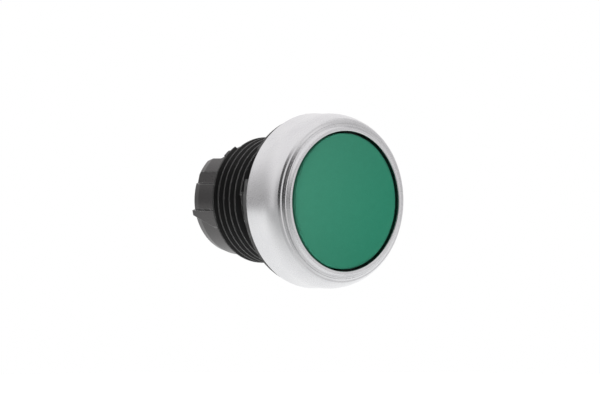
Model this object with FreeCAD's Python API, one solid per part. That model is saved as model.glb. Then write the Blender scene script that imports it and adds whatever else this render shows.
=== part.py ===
import FreeCAD, Part
import math
import os

# Industrial push button head for a 22 mm panel cut-out, flush green cap in a satin ring.
#
# Every piece is drawn in a working frame: the button's axis is +Z and points at the
# operator, +Y is the top. A station is a height on that axis, measured from the front
# face of the panel. place() turns each finished piece so that the front faces -Y and the
# top +Z, with the origin on the axis in the plane of the panel's front face.

Vector = FreeCAD.Vector
ORIGIN = Vector(0, 0, 0)
AXIS = Vector(0, 0, 1)

# Driving dimensions, millimetres and degrees
RUNNING_GAP = 0.08             # radial gap of the plunger in its guide
FIT_GAP = 0.02                 # gap between pieces that are pressed together

LIP = 10.05                    # front edge of the ring
BEZEL_RADIUS = 14.95           # largest radius, at the back of the bezel
BEZEL_BORE = 13.4
BEZEL_BACK = 1.4               # the bezel and the head of the barrel end on the gasket
JOINT_RADIUS = 13.12           # visible joint between the inner ring and the bezel
OPENING_RADIUS = 11.87         # opening that the cap moves in

THREAD_RADIUS = 10.95          # M22 x 1.5, moulded with flat crests
THREAD_ROOT = 10.03
THREAD_PITCH = 1.5
THREAD_CREST = 0.3             # width of the flat crest
THREAD_BACK = -12.72           # stations where the ridge starts and ends
THREAD_FRONT = -5.0
THREAD_START_ANGLE = 122       # blunt rear end of the ridge, from +X towards the top
RAISED_RADIUS = 10.85          # top of the barrel's index lug and of its wedge
LUG_ANGLES = (127, 134)        # index lug at the barrel's rear end
LUG_LENGTH = 0.75

PILOT_RADIUS = 11.0            # plain shoulder that centres the barrel in the cut-out
PILOT_LENGTH = 3.0
NECK_RADIUS = 10.5
BARREL_BACK = -13.72
BARREL_BORE = 8.8
HEAD_RADIUS = BEZEL_BORE - 0.1
HEAD_FRONT = 8.3
WELL_RADIUS = 11.75            # well in the head that the cap sinks into
WELL_FLOOR = 2.6
POCKET_RADIUS = 9.8            # pocket for the bead of the diaphragm and its clamp ring
POCKET_FLOOR = -0.8

GASKET_BORE = PILOT_RADIUS + 0.02
GASKET_RADIUS = 14.4
GASKET_STEP = (14.15, 1.0)     # radius and station of the step next to the bezel
GASKET_NOTCH = (142, 165)      # first and last angle of the notch in its edge

CAP_RADIUS = OPENING_RADIUS - 0.35
CAP_FACE = LIP - 0.29
CAP_THICKNESS = 1.46
CAP_SKIRT = 7.3                # lower edge of the cap's skirt
CAP_LEGS = 3
CARRIER_BACK = 7.2             # underside of the disc that the cap clips on
CARRIER_RADIUS = 10.3
BEAD_BACK = 6.0                # the diaphragm's inner bead lies between here and the disc

PLUNGER_RADIUS = 4.8
PLUNGER_BORE = 3.4
PLUNGER_BACK = -14.8
FLANGE_RADIUS = 7.6
FLANGE_BACK = 5.0
FINGERS = 4                    # snap fingers at the plunger's rear end

GUIDE_FRONT = -10.5            # wall of the sleeve that guides the plunger
GUIDE_BACK = -12.0
PUSHER_RADIUS = 7.2
PUSHER_BACK = -13.6

WASHER_THICKNESS = 0.4
SPRING_RADIUS = 5.7            # to the middle of the wire
SPRING_WIRE = 0.8
SPRING_PITCH = 2.3

SLEEVE_RADIUS = 9.65
SLEEVE_BACK = -19.75
SLEEVE_CAVITY = 7.8
SLOT_HALF_WIDTH = 6.35         # slot in the top of the sleeve for the adapter's latch
SLOT_FRONT = -15.5
SLOT_CORNER = 0.6
RAMP_RADIUS = 10.0             # raised bayonet ramp
BAYONET_SIDES = (0, 180)       # the bayonet's features are on the left and on the right

OUTSIDE = 20.0                 # radius clear of every piece, for cutting tools


# Geometry helpers

def point(radius, station):
    return Vector(radius, 0, station)


def rounding(before, corner, after, radius):
    """Where a fillet leaves one side, passes its middle and joins the next side."""
    back = (before - corner).normalize()
    ahead = (after - corner).normalize()
    half = back.getAngle(ahead) / 2
    reach = radius / math.tan(half)
    middle = (back + ahead).normalize() * (radius / math.sin(half) - radius)
    return corner + back * reach, corner + middle, corner + ahead * reach


def outline(*items):
    """Face in the half-plane of radius and station.

    An item is a corner (radius, station), a rounded corner (radius, station, fillet), or
    ("through", radius, station): a point that the arc between its neighbours passes.
    """
    corners = []
    through = {}
    for item in items:
        if item[0] == "through":
            through[len(corners) - 1] = point(item[1], item[2])
        else:
            corners.append(item)
    count = len(corners)
    places = [point(corner[0], corner[1]) for corner in corners]
    starts = list(places)
    ends = list(places)
    fillets = {}
    for i, corner in enumerate(corners):
        if len(corner) == 3:
            before = places[i - 1]
            after = places[(i + 1) % count]
            starts[i], middle, ends[i] = rounding(before, places[i], after, corner[2])
            fillets[i] = Part.Arc(starts[i], middle, ends[i]).toShape()
    edges = []
    for i in range(count):
        if i in fillets:
            edges.append(fillets[i])
        here = ends[i]
        there = starts[(i + 1) % count]
        if i in through:
            edges.append(Part.Arc(here, through[i], there).toShape())
        elif here.distanceToPoint(there) > 1e-6:
            edges.append(Part.LineSegment(here, there).toShape())
    return Part.Face(Part.Wire(edges))


def turned(*items):
    """Solid of revolution of an outline."""
    return outline(*items).revolve(ORIGIN, AXIS, 360)


def ring(inner, outer, low, high):
    return turned((inner, low), (outer, low), (outer, high), (inner, high))


def sector(inner, outer, low, high, first, last):
    """Part of a ring, from the first to the last angle."""
    face = outline((inner, low), (outer, low), (outer, high), (inner, high))
    face.rotate(ORIGIN, AXIS, first)
    return face.revolve(ORIGIN, AXIS, last - first)


def pad(edge, radius, low, high, lean=0):
    """Block between two heights above the axis; its edge is in angles and stations.

    With a lean, the side away from the smallest angle spreads towards its foot.
    """
    angles = [angle for angle, station in edge]
    middle = (min(angles) + max(angles)) / 2
    wires = []
    for height in (low, high):
        corners = []
        for angle, station in edge:
            across = radius * math.sin(math.radians(angle - middle))
            if angle > min(angles):
                across += lean * (radius - height)
            corners.append(Vector(height, across, station))
        wires.append(Part.makePolygon(corners + corners[:1]))
    solid = Part.makeLoft(wires, True, True)
    solid.rotate(ORIGIN, AXIS, middle)
    return solid


def block(x_range, y_range, low, high):
    size = (x_range[1] - x_range[0], y_range[1] - y_range[0], high - low)
    return Part.makeBox(*size, Vector(x_range[0], y_range[0], low))


def repeated(shape, angles):
    """Copies of a shape, each turned about the axis."""
    copies = []
    for angle in angles:
        copy = shape.copy()
        copy.rotate(ORIGIN, AXIS, angle)
        copies.append(copy)
    return copies


def around(count):
    return [i * 360 / count for i in range(count)]


def joined(base, pieces):
    return base.fuse(pieces).removeSplitter()


def without(base, pieces):
    return base.cut(pieces).removeSplitter()


def place(shape):
    """The same shape with its front towards -Y and its top towards +Z."""
    placed = shape.copy()
    placed.rotate(ORIGIN, Vector(1, 0, 0), 90)
    return placed


# Front: bezel, inner ring and seal

SNAP_STATION = 2.35            # the bezel's bead snaps into a groove of the barrel's head
SNAP_DEPTH = 0.2
SNAP_HALF = 0.2


def bezel():
    """Satin outer ring: slim waist, convex shoulder and a stepped front edge."""
    bead = BEZEL_BORE - SNAP_DEPTH
    return turned(
        (BEZEL_BORE, BEZEL_BACK),
        (BEZEL_RADIUS, BEZEL_BACK, 0.45),
        (BEZEL_RADIUS, BEZEL_BACK + 0.6),
        ("through", 14.84, 3.9),
        (14.88, 5.5),
        ("through", 14.66, 7.35),
        (14.05, 8.8),
        (13.76, 9.1, 0.04),
        (13.46, 9.12, 0.04),
        (JOINT_RADIUS + FIT_GAP, 9.34, 0.03),
        (JOINT_RADIUS + FIT_GAP, 8.8),
        (BEZEL_BORE, 8.8),
        (BEZEL_BORE, SNAP_STATION + SNAP_DEPTH + SNAP_HALF),
        (bead, SNAP_STATION + SNAP_HALF),
        (bead, SNAP_STATION - SNAP_HALF),
        (BEZEL_BORE, SNAP_STATION - SNAP_DEPTH - SNAP_HALF),
    )


def inner_ring():
    """Ring round the opening, held by its flange between the bezel and the barrel."""
    flange = BEZEL_BORE - FIT_GAP
    return turned(
        (OPENING_RADIUS, HEAD_FRONT),
        (flange, HEAD_FRONT),
        (flange, 8.78),
        (JOINT_RADIUS, 8.78),
        (JOINT_RADIUS, 9.36, 0.03),
        (12.99, 9.46, 0.04),
        (12.74, 9.48, 0.06),
        (12.44, LIP, 0.08),
        (OPENING_RADIUS, LIP, 0.16),
    )


SEAL_GROOVE = (5.4, 6.6)       # stations of the groove for the bezel's O-ring
SEAL_GROOVE_RADIUS = 12.55
SEAL_SECTION = 0.84            # diameter of the O-ring's section


def bezel_o_ring():
    middle = (SEAL_GROOVE[0] + SEAL_GROOVE[1]) / 2
    radius = (SEAL_GROOVE_RADIUS + BEZEL_BORE) / 2
    return Part.makeTorus(radius, SEAL_SECTION / 2, Vector(0, 0, middle), AXIS)


# Barrel with its thread

CATCH_STATION = -12.1          # the sleeve's bead snaps into a groove of the bore
CATCH_HALF = 0.25
CATCH_DEPTH = 0.3
CATCH_GAP = 0.05


def thread_ridge():
    """Right-handed ridge of the thread, blunt at both ends."""
    length = THREAD_FRONT - THREAD_BACK
    root = THREAD_ROOT - 0.1
    foot = THREAD_CREST / 2 + (THREAD_RADIUS - root) * math.tan(math.radians(30))
    corners = [
        point(root, -foot),
        point(THREAD_RADIUS, -THREAD_CREST / 2),
        point(THREAD_RADIUS, THREAD_CREST / 2),
        point(root, foot),
    ]
    profile = Part.makePolygon(corners + corners[:1])
    helix = Part.makeHelix(THREAD_PITCH, length, THREAD_ROOT)
    ridge = Part.Wire(helix.Edges).makePipeShell([profile], True, True)
    ridge.translate(Vector(0, 0, THREAD_BACK))
    ridge.rotate(ORIGIN, AXIS, THREAD_START_ANGLE)
    return ridge


def barrel_blank():
    snap = HEAD_RADIUS - SNAP_DEPTH + 0.05
    catch = BARREL_BORE + CATCH_DEPTH
    return turned(
        (BARREL_BORE, BARREL_BACK),
        (THREAD_ROOT, BARREL_BACK, 0.08),
        (THREAD_ROOT, -PILOT_LENGTH - 0.3),
        (PILOT_RADIUS - 0.3, -PILOT_LENGTH - 0.3),
        (PILOT_RADIUS, -PILOT_LENGTH),
        (PILOT_RADIUS, 0),
        (NECK_RADIUS, 0),
        (NECK_RADIUS, BEZEL_BACK),
        (HEAD_RADIUS, BEZEL_BACK),
        (HEAD_RADIUS, SNAP_STATION - SNAP_DEPTH - SNAP_HALF),
        (snap, SNAP_STATION - SNAP_HALF),
        (snap, SNAP_STATION + SNAP_HALF),
        (HEAD_RADIUS, SNAP_STATION + SNAP_DEPTH + SNAP_HALF),
        (HEAD_RADIUS, SEAL_GROOVE[0]),
        (SEAL_GROOVE_RADIUS, SEAL_GROOVE[0]),
        (SEAL_GROOVE_RADIUS, SEAL_GROOVE[1]),
        (HEAD_RADIUS, SEAL_GROOVE[1]),
        (HEAD_RADIUS, HEAD_FRONT, 0.25),
        (WELL_RADIUS, HEAD_FRONT),
        (WELL_RADIUS, WELL_FLOOR, 0.2),
        (POCKET_RADIUS + 0.5, WELL_FLOOR),
        (POCKET_RADIUS, WELL_FLOOR - 0.7),
        (POCKET_RADIUS, POCKET_FLOOR),
        (BARREL_BORE, POCKET_FLOOR),
        (BARREL_BORE, CATCH_STATION + CATCH_HALF + CATCH_DEPTH),
        (catch, CATCH_STATION + CATCH_HALF),
        (catch, CATCH_STATION - CATCH_HALF),
        (BARREL_BORE, CATCH_STATION - CATCH_HALF - CATCH_DEPTH),
    )


def thread_wedge():
    """Slanted wedge that leads from the front end of the thread to the pilot."""
    shoulder = -PILOT_LENGTH - 0.2
    edge = [(172, THREAD_FRONT - 0.22), (183.5, THREAD_FRONT + 0.35), (186, shoulder),
            (178, shoulder), (172, THREAD_FRONT + 0.2)]
    return pad(edge, RAISED_RADIUS, THREAD_ROOT - 0.3, RAISED_RADIUS - 0.05)


def barrel():
    """Black barrel: head, pilot, M22 thread, wedge at its front end and lug at the rear."""
    root = THREAD_ROOT - 0.3
    front = BARREL_BACK + LUG_LENGTH
    lug = outline((root, BARREL_BACK), (RAISED_RADIUS - 0.1, BARREL_BACK),
                  (RAISED_RADIUS, front), (root, front))
    lug.rotate(ORIGIN, AXIS, LUG_ANGLES[0])
    lug = lug.revolve(ORIGIN, AXIS, LUG_ANGLES[1] - LUG_ANGLES[0])
    return joined(barrel_blank(), [thread_ridge(), thread_wedge(), lug])


def panel_gasket():
    """Flat seal between the head and the panel, stepped in front, with a notch."""
    step_radius, step_station = GASKET_STEP
    blank = turned(
        (GASKET_BORE, 0),
        (GASKET_RADIUS, 0, 0.2),
        (GASKET_RADIUS, step_station, 0.1),
        (step_radius, step_station),
        (step_radius, BEZEL_BACK),
        (GASKET_BORE, BEZEL_BACK),
    )
    notch = sector(GASKET_RADIUS - 1.9, OUTSIDE, -1, BEZEL_BACK + 1, *GASKET_NOTCH)
    return without(blank, [notch])


# Inner seal

CLAMP_BACK = 0.4
CLAMP_FRONT = 1.5


def seal_clamp_ring():
    """Ring pressed into the pocket, holding the diaphragm's outer bead."""
    return turned(
        (8.9, CLAMP_BACK),
        (POCKET_RADIUS - FIT_GAP, CLAMP_BACK),
        (POCKET_RADIUS - FIT_GAP, CLAMP_FRONT - 0.2),
        (POCKET_RADIUS - 0.2, CLAMP_FRONT),
        (9.05, CLAMP_FRONT),
        (8.9, CLAMP_FRONT - 0.15),
    )


def diaphragm_seal():
    """Rubber diaphragm: outer bead in the barrel, thin cone, inner bead on the plunger."""
    return turned(
        (8.95, POCKET_FLOOR),
        (9.75, POCKET_FLOOR),
        (9.75, CLAMP_BACK),
        (8.8, CLAMP_BACK),
        (8.3, 3.2),
        (8.1, CARRIER_BACK - 0.4),
        (7.8, CARRIER_BACK),
        (6.55, CARRIER_BACK),
        (6.55, BEAD_BACK),
        (FLANGE_RADIUS + 0.06, BEAD_BACK),
        (FLANGE_RADIUS + 0.1, BEAD_BACK - 0.4),
        (7.88, 3.0),
        (8.35, -0.1),
    )


# Moving pieces

LEG_INNER = 8.8
LEG_OUTER = 9.4
LEG_HALF_ANGLE = 7
CATCH_LIP = 0.35               # how far a leg's catch reaches past the leg


def button_cap():
    """Green cap: flat face with a soft edge, skirt and clip legs."""
    shell = turned(
        (0, CAP_FACE - CAP_THICKNESS),
        (CAP_RADIUS - 1.0, CAP_FACE - CAP_THICKNESS),
        (CAP_RADIUS - 0.98, CAP_SKIRT),
        (CAP_RADIUS, CAP_SKIRT),
        (CAP_RADIUS, CAP_FACE, 0.35),
        (0, CAP_FACE),
    )
    top = CAP_FACE - CAP_THICKNESS + 0.1
    leg = outline(
        (LEG_INNER, CARRIER_BACK - 0.9),
        (LEG_OUTER + 0.05, CARRIER_BACK - 0.9),
        (LEG_OUTER + CATCH_LIP, CARRIER_BACK - 0.25),
        (LEG_OUTER + CATCH_LIP, CARRIER_BACK),
        (LEG_OUTER, CARRIER_BACK),
        (LEG_OUTER, top),
        (LEG_INNER, top),
    )
    leg.rotate(ORIGIN, AXIS, 90 - LEG_HALF_ANGLE)
    leg = leg.revolve(ORIGIN, AXIS, 2 * LEG_HALF_ANGLE)
    return joined(shell, repeated(leg, around(CAP_LEGS)))


def cap_carrier():
    """Disc under the cap, with a boss through the diaphragm and a pin in the plunger."""
    front = CAP_FACE - CAP_THICKNESS
    pin = PLUNGER_BORE - FIT_GAP
    blank = turned(
        (0, 2.0),
        (pin - 0.4, 2.0),
        (pin, 2.4),
        (pin, BEAD_BACK),
        (6.5, BEAD_BACK),
        (6.5, CARRIER_BACK),
        (CARRIER_RADIUS, CARRIER_BACK),
        (CARRIER_RADIUS, front),
        (0, front),
    )
    width = LEG_HALF_ANGLE + 1
    window = sector(LEG_INNER - 0.05, LEG_OUTER + 0.1, CARRIER_BACK - 1, front + 1,
                    90 - width, 90 + width)
    return without(blank, repeated(window, around(CAP_LEGS)))


def plunger():
    """Tube with a flange in front and snap fingers at the rear."""
    hook = PUSHER_BACK - 0.7
    blank = turned(
        (PLUNGER_BORE, PLUNGER_BACK),
        (PLUNGER_RADIUS - 0.1, PLUNGER_BACK),
        (PLUNGER_RADIUS + 0.5, hook),
        (PLUNGER_RADIUS + 0.5, PUSHER_BACK),
        (PLUNGER_RADIUS, PUSHER_BACK),
        (PLUNGER_RADIUS, FLANGE_BACK),
        (FLANGE_RADIUS, FLANGE_BACK),
        (FLANGE_RADIUS, BEAD_BACK),
        (PLUNGER_BORE, BEAD_BACK),
    )
    slot = block((-OUTSIDE, OUTSIDE), (-0.6, 0.6), PLUNGER_BACK - 1, GUIDE_FRONT + 1)
    return without(blank, repeated(slot, around(FINGERS)[: FINGERS // 2]))


def pusher_plate():
    """Plate snapped on the plunger: stops it at rest and pushes the contact block."""
    return turned(
        (PLUNGER_RADIUS + 0.05, PUSHER_BACK),
        (5.9, PUSHER_BACK),
        (5.9, PLUNGER_BACK),
        (PUSHER_RADIUS, PLUNGER_BACK),
        (PUSHER_RADIUS, GUIDE_BACK),
        (PLUNGER_RADIUS + 0.05, GUIDE_BACK),
    )


# Spring

def spring_washer():
    return ring(PLUNGER_RADIUS + 0.15, 8.2, GUIDE_FRONT, GUIDE_FRONT + WASHER_THICKNESS)


def return_spring():
    """Compression spring with flat ground ends, between the washer and the flange."""
    low = GUIDE_FRONT + WASHER_THICKNESS
    length = FLANGE_BACK - low
    helix = Part.makeHelix(SPRING_PITCH, length, SPRING_RADIUS)
    section = Part.Wire(Part.makeCircle(SPRING_WIRE / 2, point(SPRING_RADIUS, 0),
                                        Vector(0, 1, 0)))
    wire = Part.Wire(helix.Edges).makePipeShell([section], True, True)
    wire.translate(Vector(0, 0, low))
    return wire.common(Part.makeCylinder(OUTSIDE, length, Vector(0, 0, low)))


# Rear sleeve with its bayonet

RECESS_ANGLES = (148.7, 160.3) # the floor of the recess; its lower wall slants outwards
RECESS_RADII = (9.4, 9.0)      # radii of the floor at those two angles
RECESS_WALL_ANGLE = 163.5      # upper edge of the wall
GROOVE_ANGLES = (189.3, 190.4)
RAMP_ANGLES = (190.4, 206.5)
GROOVE_DEPTH = 0.13
END_CHAMFER = (0.35, 1.6)      # radial and axial size of the chamfer at the rear end


def sleeve_blank():
    catch = BARREL_BORE + CATCH_DEPTH - CATCH_GAP
    spigot = BARREL_BORE - CATCH_GAP
    bore = PLUNGER_RADIUS + RUNNING_GAP
    return turned(
        (bore, GUIDE_FRONT),
        (spigot - 0.3, GUIDE_FRONT),
        (spigot, GUIDE_FRONT - 0.3),
        (spigot, CATCH_STATION + CATCH_HALF + CATCH_DEPTH),
        (catch, CATCH_STATION + CATCH_HALF),
        (catch, CATCH_STATION - CATCH_HALF),
        (spigot, CATCH_STATION - CATCH_HALF - CATCH_DEPTH),
        (spigot, BARREL_BACK),
        (SLEEVE_RADIUS, BARREL_BACK),
        (SLEEVE_RADIUS, SLEEVE_BACK + END_CHAMFER[1]),
        (SLEEVE_RADIUS - END_CHAMFER[0], SLEEVE_BACK, 0.1),
        (SLEEVE_CAVITY, SLEEVE_BACK),
        (SLEEVE_CAVITY, GUIDE_BACK),
        (bore, GUIDE_BACK),
    )


def bayonet_ramp():
    """Raised pad on the sleeve whose lower edge is the slanted cam of the bayonet."""
    first, last = RAMP_ANGLES
    edge = [(first, SLEEVE_BACK - 1), (first, BARREL_BACK + 1), (last, BARREL_BACK + 1),
            (last, -15.0), (last - 1.2, -15.5), (194.8, SLEEVE_BACK), (192, SLEEVE_BACK - 1)]
    shell = turned(
        (SLEEVE_RADIUS - 0.3, BARREL_BACK),
        (RAMP_RADIUS, BARREL_BACK),
        (RAMP_RADIUS, SLEEVE_BACK, 0.25),
        (SLEEVE_RADIUS - 0.9, SLEEVE_BACK),
        (SLEEVE_RADIUS - 0.9, SLEEVE_BACK + 1.2),
    )
    return pad(edge, RAMP_RADIUS, SLEEVE_CAVITY + 0.3, RAMP_RADIUS + 0.2, 1.0).common(shell)


def bayonet_recess():
    """Tool for the recessed track, whose floor and lower wall are flat."""
    first, last = RECESS_ANGLES
    places = [
        (RECESS_RADII[0], first),
        (RECESS_RADII[1], last),
        (SLEEVE_RADIUS, RECESS_WALL_ANGLE),
        (OUTSIDE, RECESS_WALL_ANGLE),
        (OUTSIDE, first),
    ]
    corners = []
    for radius, angle in places:
        turn = math.radians(angle)
        corners.append(Vector(radius * math.cos(turn), radius * math.sin(turn), BARREL_BACK))
    face = Part.Face(Part.makePolygon(corners + corners[:1]))
    return face.extrude(Vector(0, 0, SLEEVE_BACK - 1 - BARREL_BACK))


def latch_slot():
    """Tool for the slot in the top of the sleeve, with rounded front corners."""
    tool = block((-SLOT_HALF_WIDTH, SLOT_HALF_WIDTH), (0, OUTSIDE),
                 SLEEVE_BACK - 1, SLOT_FRONT)
    edges = []
    for edge in tool.Edges:
        middle = edge.CenterOfMass
        if abs(abs(middle.x) - SLOT_HALF_WIDTH) < 0.01 and abs(middle.z - SLOT_FRONT) < 0.01:
            edges.append(edge)
    return tool.makeFillet(SLOT_CORNER, edges)


def rear_sleeve():
    """Grey sleeve: spigot in the barrel, guide wall, cavity, latch slot and bayonet."""
    groove = sector(SLEEVE_RADIUS - GROOVE_DEPTH, OUTSIDE, SLEEVE_BACK - 1, BARREL_BACK,
                    *GROOVE_ANGLES)
    cuts = [latch_slot()]
    ramps = []
    for side in BAYONET_SIDES:
        cuts += repeated(bayonet_recess(), [side]) + repeated(groove, [side])
        ramps += repeated(bayonet_ramp(), [side])
    return joined(without(sleeve_blank(), cuts), ramps)


PIECES = {
    "bezel": bezel,
    "inner_ring": inner_ring,
    "bezel_o_ring": bezel_o_ring,
    "barrel": barrel,
    "panel_gasket": panel_gasket,
    "seal_clamp_ring": seal_clamp_ring,
    "diaphragm_seal": diaphragm_seal,
    "button_cap": button_cap,
    "cap_carrier": cap_carrier,
    "plunger": plunger,
    "pusher_plate": pusher_plate,
    "spring_washer": spring_washer,
    "return_spring": return_spring,
    "rear_sleeve": rear_sleeve,
}

os.makedirs("parts", exist_ok=True)
for name, make in PIECES.items():
    piece = place(make())
    print(name, "solids", len(piece.Solids), "valid", piece.isValid(),
          "volume", round(piece.Volume, 1))
    piece.exportStep("parts/" + name + ".step")
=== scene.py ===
import math

import bpy
from mathutils import Matrix, Vector


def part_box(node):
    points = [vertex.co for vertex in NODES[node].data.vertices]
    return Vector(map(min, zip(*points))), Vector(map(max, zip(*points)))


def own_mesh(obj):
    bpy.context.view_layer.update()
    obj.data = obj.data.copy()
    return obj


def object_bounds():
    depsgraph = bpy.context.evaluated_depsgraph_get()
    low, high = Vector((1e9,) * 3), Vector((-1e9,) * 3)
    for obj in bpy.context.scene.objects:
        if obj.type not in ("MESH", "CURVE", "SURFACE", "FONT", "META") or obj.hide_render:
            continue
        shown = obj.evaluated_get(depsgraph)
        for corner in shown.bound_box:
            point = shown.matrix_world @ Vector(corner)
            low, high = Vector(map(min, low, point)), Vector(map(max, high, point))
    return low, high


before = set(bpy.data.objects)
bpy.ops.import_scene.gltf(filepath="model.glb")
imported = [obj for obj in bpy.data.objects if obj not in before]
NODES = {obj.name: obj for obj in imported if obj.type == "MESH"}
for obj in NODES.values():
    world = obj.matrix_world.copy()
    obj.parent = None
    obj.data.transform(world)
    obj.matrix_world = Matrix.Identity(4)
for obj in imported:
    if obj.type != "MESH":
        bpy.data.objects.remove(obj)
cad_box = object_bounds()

# Industrial push button head. Metres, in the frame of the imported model: the front faces
# -Y, the top +Z, and the panel's front face lies in the plane y = 0.
MM = 0.001
MM_IN_METRE = 1000
LIP_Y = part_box("inner_ring")[0].y          # front edge of the ring
CAP_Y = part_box("button_cap")[0].y          # face of the cap


# Camera

CAMERA_AZIMUTH = math.radians(-40.06)
CAMERA_ELEVATION = math.radians(0.7)
CAMERA_DISTANCE = 0.5                      # from the middle of the ring's front edge
CAMERA_SENSOR = 36                         # width in millimetres
CAMERA_LENS = 177.8                        # in millimetres
CAMERA_CLIP = (0.01, 20)
LIP_RIGHT = 7.85 * MM                      # the ring's middle stands right of the view's
LIP_UP = -0.21 * MM                        # middle, and a little below it


def toward(azimuth, elevation):
    """Unit vector from the object, from angles in radians; azimuth 0 is the front and a
    quarter turn less is -X."""
    flat = math.cos(elevation)
    return Vector((math.sin(azimuth) * flat, -math.cos(azimuth) * flat, math.sin(elevation)))


TO_CAMERA = toward(CAMERA_AZIMUTH, CAMERA_ELEVATION)


def make_camera():
    """Upright camera that sees the ring's middle a little off the view's middle."""
    right = Vector((math.cos(CAMERA_AZIMUTH), math.sin(CAMERA_AZIMUTH), 0))
    up = TO_CAMERA.cross(right)
    data = bpy.data.cameras.new("camera")
    data.sensor_width = CAMERA_SENSOR
    data.lens = CAMERA_LENS
    data.clip_start = CAMERA_CLIP[0]
    data.clip_end = CAMERA_CLIP[1]
    camera = bpy.data.objects.new("camera", data)
    bpy.context.scene.collection.objects.link(camera)
    place = Vector((0, LIP_Y, 0)) + TO_CAMERA * CAMERA_DISTANCE
    place -= right * LIP_RIGHT + up * LIP_UP
    axes = Matrix((right, up, TO_CAMERA)).transposed()
    camera.matrix_world = Matrix.Translation(place) @ axes.to_4x4()
    bpy.context.scene.camera = camera


make_camera()


# Node graphs: a small helper keeps each material short

NOISE_SPREAD = (0.3, 0.7)                  # most of a noise's values lie between these
EDGE_BEND = (0.99, 0.90)                   # cosines at which an edge starts and is full
BEVEL_SAMPLES = 6


class Graph:
    """Builds shader nodes. Sockets are set by name or number, from a value or an output."""

    def __init__(self, tree):
        self.tree = tree
        tree.nodes.clear()

    def put(self, target, value):
        if isinstance(value, bpy.types.NodeSocket):
            self.tree.links.new(value, target)
        else:
            target.default_value = value

    def node(self, kind, inputs=None, **settings):
        """New node; settings are its own properties, such as an operation."""
        made = self.tree.nodes.new("ShaderNode" + kind)
        for key, value in settings.items():
            setattr(made, key, value)
        for key, value in (inputs or {}).items():
            self.put(made.inputs[key], value)
        return made

    def math(self, operation, first, second):
        return self.node("Math", {0: first, 1: second}, operation=operation).outputs[0]

    def remap(self, value, low, high, to_low, to_high, smooth=False):
        """Value brought from one range to another, and held there past its ends."""
        made = self.node("MapRange", {0: value, 1: low, 2: high, 3: to_low, 4: to_high})
        if smooth:
            made.interpolation_type = "SMOOTHSTEP"
        return made.outputs[0]

    def spread(self, noise, to_low, to_high):
        """Noise brought from its usual spread to these values."""
        return self.remap(noise, *NOISE_SPREAD, to_low, to_high)

    def mix(self, factor, first, second):
        """Colour between two colours."""
        made = self.node("Mix", data_type="RGBA")
        self.put(made.inputs[0], factor)
        self.put(made.inputs[6], first)
        self.put(made.inputs[7], second)
        return made.outputs[2]

    def millimetres(self):
        """The object's own coordinates in millimetres: they ride with the piece."""
        place = self.node("TexCoord").outputs["Object"]
        return self.node("VectorMath", {0: place, 1: (MM_IN_METRE, MM_IN_METRE, MM_IN_METRE)},
                         operation="MULTIPLY").outputs[0]

    def noise(self, place, scale, detail, roughness=0.5, stretch=None):
        """Noise from 0 to 1, with this many features to the millimetre."""
        if stretch:
            place = self.node("VectorMath", {0: place, 1: stretch},
                              operation="MULTIPLY").outputs[0]
        return self.node("TexNoise", {"Vector": place, "Scale": scale, "Detail": detail,
                                      "Roughness": roughness}).outputs[0]

    def part(self, place, axis):
        """One number of a vector or a colour: 0, 1 or 2."""
        return self.node("SeparateXYZ", {0: place}).outputs[axis]

    def soft_edge(self, radius_mm):
        """Normal that rounds the sharp edges by this much."""
        return self.node("Bevel", {"Radius": radius_mm * MM}, samples=BEVEL_SAMPLES).outputs[0]

    def specks(self, place, spacing_mm, share, size):
        """1 in scattered round specks: of cells this far apart, this share holds one each, of
        this radius in cells."""
        cells = self.node("TexVoronoi", {"Vector": place, "Scale": 1 / spacing_mm})
        chosen = self.math("LESS_THAN", self.part(cells.outputs["Color"], 0), share)
        spot = self.remap(cells.outputs["Distance"], size * 0.5, size, 1, 0)
        return self.math("MULTIPLY", chosen, spot)

    def bump(self, height, strength, distance_mm, normal=None):
        """Normal of a surface that rises and falls by this much, on top of another normal."""
        made = self.node("Bump", {"Height": height, "Strength": strength,
                                  "Distance": distance_mm * MM})
        if normal:
            self.put(made.inputs["Normal"], normal)
        return made.outputs[0]

    def edges(self, radius_mm):
        """1 along the edges, 0 on smooth surfaces."""
        plain = self.node("NewGeometry").outputs["Normal"]
        along = self.node("VectorMath", {0: self.soft_edge(radius_mm), 1: plain},
                          operation="DOT_PRODUCT").outputs[1]
        return self.remap(along, *EDGE_BEND, 0, 1)

    def surface(self, **inputs):
        """Ends the graph in a surface. Its inputs by name, with _ for a space."""
        shader = self.node("BsdfPrincipled")
        for key, value in inputs.items():
            self.put(shader.inputs[key.replace("_", " ")], value)
        out = self.node("OutputMaterial")
        self.tree.links.new(shader.outputs[0], out.inputs[0])


def graph_material(name):
    made = bpy.data.materials.new(name)
    made.use_nodes = True
    return made, Graph(made.node_tree)


def grey(value):
    return (value, value, value, 1)


# Materials. Where a finish has two colours, its noise wanders between them.

CHROME = ((0.70, 0.70, 0.715, 1), (0.74, 0.74, 0.75, 1))
GREEN = ((0.0200, 0.207, 0.125, 1), (0.0248, 0.226, 0.139, 1))
GREEN_GRAIN = (0.019, 0.187, 0.112, 1)
# paler green painted on as sheen and light falling from the upper left
GREEN_PAINTED_SHEEN = (0.17, 0.40, 0.30, 1)
GREEN_DUST = (0.10, 0.30, 0.22, 1)
ACETAL = ((0.70, 0.69, 0.64, 1), (0.78, 0.77, 0.73, 1))
STEEL = ((0.50, 0.50, 0.51, 1), (0.60, 0.58, 0.55, 1))
UP_LEFT = (-1, 0, 0.6)                     # where the painted sheen on the green cap is strongest
FIBRE_SHARE = 0.3                          # how far a fibre streak shows through the nylon
STREAK_FROM = (0.62, 0.75)                 # noise at which a fibre streak starts and is full
EDGE_WEAR_AND_HIGHLIGHT_SHARE = 0.6                           # how far the paler edge tone, part wear and part painted highlight, covers an edge
PAINTED_SHEEN_RUN = (-10, 10)                       # from where to where the painted sheen grows, that way
PAINTED_SHEEN_MOST = 0.13                           # share of the painted sheen's pale green at its end


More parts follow.
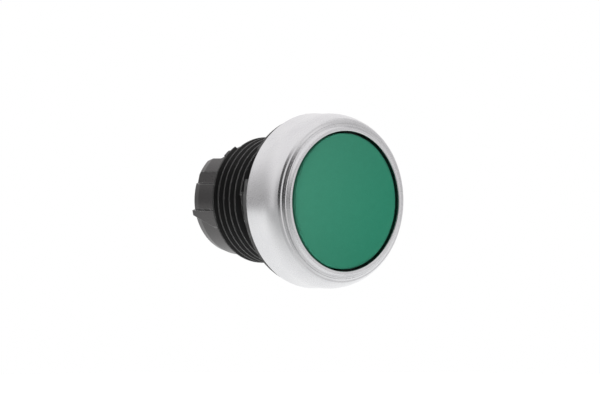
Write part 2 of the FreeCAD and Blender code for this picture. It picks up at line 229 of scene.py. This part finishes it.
def satin_chrome():
    """Satin chrome plate: bright metal with a fine, even, slightly cloudy grain."""
    made, g = graph_material("satin_chrome_fine")
    place = g.millimetres()
    grain = g.noise(place, 9.0, detail=3)
    cloud = g.noise(place, 0.35, detail=2)
    tone = g.mix(g.spread(cloud, 0, 1), *CHROME)
    dust = g.specks(place, spacing_mm=0.9, share=0.12, size=0.1)
    tone = g.mix(g.math("MULTIPLY", dust, 0.25), tone, grey(0.5))
    rough = g.math("ADD", g.spread(grain, 0.23, 0.28), g.spread(cloud, 0, 0.04))
    g.surface(Base_Color=tone, Metallic=1.0, Roughness=rough,
              Normal=g.bump(grain, strength=0.25, distance_mm=0.004, normal=g.soft_edge(0.05)))
    return made


def green_plastic():
    """Matte green cap: fine spark-eroded texture, faint mottling, and painted sheen and light
    that make it paler towards the upper left.
    """
    made, g = graph_material("green_plastic_matte")
    place = g.millimetres()
    grain = g.noise(place, 4.0, detail=4, roughness=0.7)
    mottle = g.noise(place, 0.9, detail=3)
    tone = g.mix(g.spread(mottle, 0, 1), *GREEN)
    tone = g.mix(g.remap(grain, 0.35, 0.65, 0, 0.8), tone, GREEN_GRAIN)
    # Painted light: the cap gets paler towards the upper left, standing in for sheen and light
    # from that side
    slope = g.node("VectorMath", {0: place, 1: UP_LEFT}, operation="DOT_PRODUCT")
    painted_sheen = g.remap(slope.outputs[1], *PAINTED_SHEEN_RUN, 0, PAINTED_SHEEN_MOST)
    tone = g.mix(painted_sheen, tone, GREEN_PAINTED_SHEEN)
    dust = g.specks(place, spacing_mm=0.7, share=0.1, size=0.12)
    tone = g.mix(g.math("MULTIPLY", dust, 0.12), tone, GREEN_DUST)
    rough = g.spread(grain, 0.50, 0.60)
    g.surface(Base_Color=tone, Roughness=rough, Specular_IOR_Level=0.22,
              Normal=g.bump(grain, strength=0.5, distance_mm=0.02, normal=g.soft_edge(0.06)))
    return made


def moulded_nylon(name, base, rough, gloss, worn_and_highlit, warm=1.0):
    """Glass-filled nylon: short pale fibre streaks, a fine grain and paler edges, part wear and
    part painted highlight.
    """
    made, g = graph_material(name)
    place = g.millimetres()
    grain = g.noise(place, 7.0, detail=4, roughness=0.6)
    flow = g.noise(place, 1.1, detail=3, stretch=(1, 0.25, 1))
    streak = g.noise(place, 9.0, detail=1, stretch=(1, 0.12, 1))
    tone = g.mix(g.spread(flow, 0, 1), grey(base * 0.9), grey(base * 1.15))
    fibre = g.remap(streak, *STREAK_FROM, 0, FIBRE_SHARE)
    tone = g.mix(fibre, tone, grey(base * 2.2 + 0.006))
    # Paler edges: partly wear, partly a painted highlight where light catches the edges
    tone = g.mix(g.math("MULTIPLY", g.edges(radius_mm=0.1), EDGE_WEAR_AND_HIGHLIGHT_SHARE), tone, grey(worn_and_highlit))
    dust = g.specks(place, spacing_mm=0.8, share=0.15, size=0.12)
    tone = g.mix(g.math("MULTIPLY", dust, 0.35), tone, grey(base * 2 + 0.04))
    sheen = (1.0, 2 - warm, 2 - warm, 1)
    g.surface(Base_Color=tone, Roughness=g.spread(grain, rough - 0.05, rough + 0.06),
              Specular_IOR_Level=gloss, Specular_Tint=sheen,
              Normal=g.bump(grain, strength=0.3, distance_mm=0.008, normal=g.soft_edge(0.06)))
    return made


def moulded_rubber(name, base, rough):
    """Dull rubber with a dusty bloom."""
    made, g = graph_material(name)
    place = g.millimetres()
    grain = g.noise(place, 8.0, detail=4, roughness=0.7)
    bloom = g.noise(place, 0.6, detail=4)
    tone = g.mix(g.remap(bloom, 0.35, 0.7, 0, 1), grey(base), grey(base * 1.5 + 0.005))
    dust = g.specks(place, spacing_mm=0.7, share=0.2, size=0.12)
    tone = g.mix(g.math("MULTIPLY", dust, 0.4), tone, grey(base * 2 + 0.05))
    g.surface(Base_Color=tone, Roughness=g.spread(grain, rough - 0.05, rough + 0.08),
              Specular_IOR_Level=0.35,
              Normal=g.bump(grain, strength=0.35, distance_mm=0.012, normal=g.soft_edge(0.08)))
    return made


def white_acetal():
    """Natural acetal: milky, slightly glossy, with faint flow lines."""
    made, g = graph_material("white_acetal_moulded")
    place = g.millimetres()
    grain = g.noise(place, 5.0, detail=3)
    flow = g.noise(place, 0.7, detail=3, stretch=(1, 0.3, 1))
    tone = g.mix(g.spread(flow, 0, 1), *ACETAL)
    g.surface(Base_Color=tone, Roughness=g.spread(grain, 0.32, 0.4),
              Subsurface_Weight=0.15, Subsurface_Scale=0.001,
              Normal=g.bump(grain, strength=0.2, distance_mm=0.005))
    return made


def spring_steel():
    """Drawn stainless wire and sheet, with fine drawing lines and faint heat tint."""
    made, g = graph_material("spring_steel_drawn")
    place = g.millimetres()
    grain = g.noise(place, 12.0, detail=2, stretch=(1, 3, 1))
    tint = g.noise(place, 0.8, detail=2)
    tone = g.mix(g.spread(tint, 0, 1), *STEEL)
    g.surface(Base_Color=tone, Metallic=1.0, Roughness=g.spread(grain, 0.28, 0.4),
              Normal=g.bump(grain, strength=0.3, distance_mm=0.004))
    return made


def finish_nodes():
    """Gives every piece its finish."""
    chrome = satin_chrome()
    black = moulded_nylon("black_nylon_moulded", base=0.003, rough=0.44, gloss=0.33, worn_and_highlit=0.12)
    dark_grey = moulded_nylon("grey_nylon_moulded", base=0.003, rough=0.30, gloss=0.88,
                              worn_and_highlit=0.20, warm=1.04)
    seal = moulded_rubber("black_rubber_moulded", base=0.016, rough=0.6)
    steel = spring_steel()
    finishes = {
        "bezel": chrome,
        "inner_ring": chrome,
        "button_cap": green_plastic(),
        "barrel": black,
        "seal_clamp_ring": black,
        "cap_carrier": black,
        "rear_sleeve": dark_grey,
        "pusher_plate": dark_grey,
        "plunger": white_acetal(),
        "bezel_o_ring": seal,
        "panel_gasket": moulded_rubber("gasket_rubber_moulded", base=0.02, rough=0.6),
        "diaphragm_seal": moulded_rubber("diaphragm_rubber_moulded", base=0.045, rough=0.55),
        "return_spring": steel,
        "spring_washer": steel,
    }
    for name, finish in finishes.items():
        mesh = NODES[name].data
        mesh.materials.clear()
        mesh.materials.append(finish)


finish_nodes()


# Soft pieces that give way when the button is pressed: each gets a mesh of its own


def soft_pieces():
    """The spring and the diaphragm get meshes of their own."""
    for name in ("return_spring", "diaphragm_seal"):
        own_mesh(NODES[name])


soft_pieces()


# Floor, white studio and lamps

FLOOR_DROP = 45 * MM                       # the floor lies this far below the object
FLOOR_RADIUS = 0.43
FLOOR_CORNERS = 96
FLOOR_TONES = ((0.92, 0.94, 0.93, 1), (0.94, 0.96, 0.95, 1))
FLOOR_GLOW = (0.78, 0.25)                  # what the object gets from behind and in front,
FLOOR_GLOW_RUN = (-20, 110)                # over this run towards the camera, in millimetres
FLOOR_GLOW_SEEN = 0.9                      # the least that the camera gets
STUDIO_TINT = (1.0, 0.985, 0.99, 1)
STUDIO_DIFFUSE_DIM = 0.82                  # share of its light that matte surfaces don't get
BAND_TOP = 0.75                            # the band behind has faded out this far up, of 1

def make_floor():
    """Pale disc that glows, less towards the camera."""
    made, g = graph_material("pale_floor")
    place = g.millimetres()
    mottle = g.noise(place, 0.01, detail=3)
    tone = g.mix(mottle, *FLOOR_TONES)
    seen = g.node("LightPath").outputs["Is Camera Ray"]
    ahead = g.node("VectorMath", {0: place, 1: TO_CAMERA}, operation="DOT_PRODUCT").outputs[1]
    glow = g.remap(ahead, *FLOOR_GLOW_RUN, *FLOOR_GLOW, smooth=True)
    glow = g.math("MAXIMUM", glow, g.math("MULTIPLY", seen, FLOOR_GLOW_SEEN))
    g.surface(Base_Color=tone, Roughness=0.9, Specular_IOR_Level=0.1,
              Emission_Color=grey(1.0), Emission_Strength=glow)
    bpy.ops.mesh.primitive_circle_add(vertices=FLOOR_CORNERS, radius=FLOOR_RADIUS,
                                      fill_type="NGON",
                                      location=(0, 0, cad_box[0].z - FLOOR_DROP))
    floor = bpy.context.object
    floor.name = "floor"
    floor.data.materials.append(made)


def make_world():
    """White studio. What mirrors in the object is dark round the camera and, less, behind on
    the left and at the right."""
    world = bpy.data.worlds.new("studio")
    world.use_nodes = True
    bpy.context.scene.world = world
    g = Graph(world.node_tree)
    way = g.node("TexCoord").outputs["Generated"]

    def lobe(direction, wide, narrow):
        """1 up to the narrow angle from a direction, in degrees, falling to 0 at the wide."""
        along = g.node("VectorMath", {0: way, 1: direction}, operation="DOT_PRODUCT").outputs[1]
        return g.remap(along, math.cos(math.radians(wide)), math.cos(math.radians(narrow)),
                       0, 1, smooth=True)

    def dimmed(light, shade, depth):
        """Light less this share of it where the shade is 1."""
        kept = g.math("SUBTRACT", 1.0, g.math("MULTIPLY", shade, depth))
        return g.math("MULTIPLY", light, kept)

    behind_left = toward(math.radians(-145), 0)
    at_right = toward(math.radians(70), math.radians(20))
    band = g.remap(g.part(way, 2), 0, BAND_TOP, 1, 0, smooth=True)
    rear_shade = g.math("MULTIPLY", lobe(behind_left, wide=60, narrow=10), band)
    light = dimmed(1.0, lobe(TO_CAMERA, wide=57, narrow=36), depth=0.96)
    light = dimmed(light, rear_shade, depth=0.57)
    light = dimmed(light, lobe(at_right, wide=50, narrow=15), depth=0.38)
    backdrop = g.node("Background", {"Color": grey(1.0), "Strength": 1.0})
    path = g.node("LightPath")
    seen = path.outputs["Is Camera Ray"]
    light = dimmed(light, path.outputs["Is Diffuse Ray"], STUDIO_DIFFUSE_DIM)
    studio = g.node("Background", {"Color": STUDIO_TINT, "Strength": light})
    mixed = g.node("MixShader", {0: seen, 1: studio.outputs[0], 2: backdrop.outputs[0]})
    out = g.node("OutputWorld")
    g.tree.links.new(mixed.outputs[0], out.inputs[0])


def make_softbox(name, azimuth, elevation, distance, side, power, spread=180):
    """Square lamp aimed at the cap; angles in degrees, its side in metres, power in watts."""
    data = bpy.data.lights.new(name, "AREA")
    data.shape = "RECTANGLE"
    data.size = side
    data.size_y = side
    data.energy = power
    data.spread = math.radians(spread)
    lamp = bpy.data.objects.new(name, data)
    bpy.context.scene.collection.objects.link(lamp)
    back = toward(math.radians(azimuth), math.radians(elevation))
    lamp.location = back * distance + Vector((0, CAP_Y, 0))
    lamp.rotation_mode = "QUATERNION"
    lamp.rotation_quaternion = back.to_track_quat("Z", "Y")
    lamp.visible_camera = False
    lamp.visible_glossy = False


make_floor()
make_world()
make_softbox("softbox_top", azimuth=-150, elevation=65, distance=0.6, side=0.6, power=0.55)
make_softbox("cap_light", azimuth=-75, elevation=8, distance=0.14, side=0.05, power=0.0205,
             spread=24)

bpy.context.scene.view_settings.view_transform = "Standard"
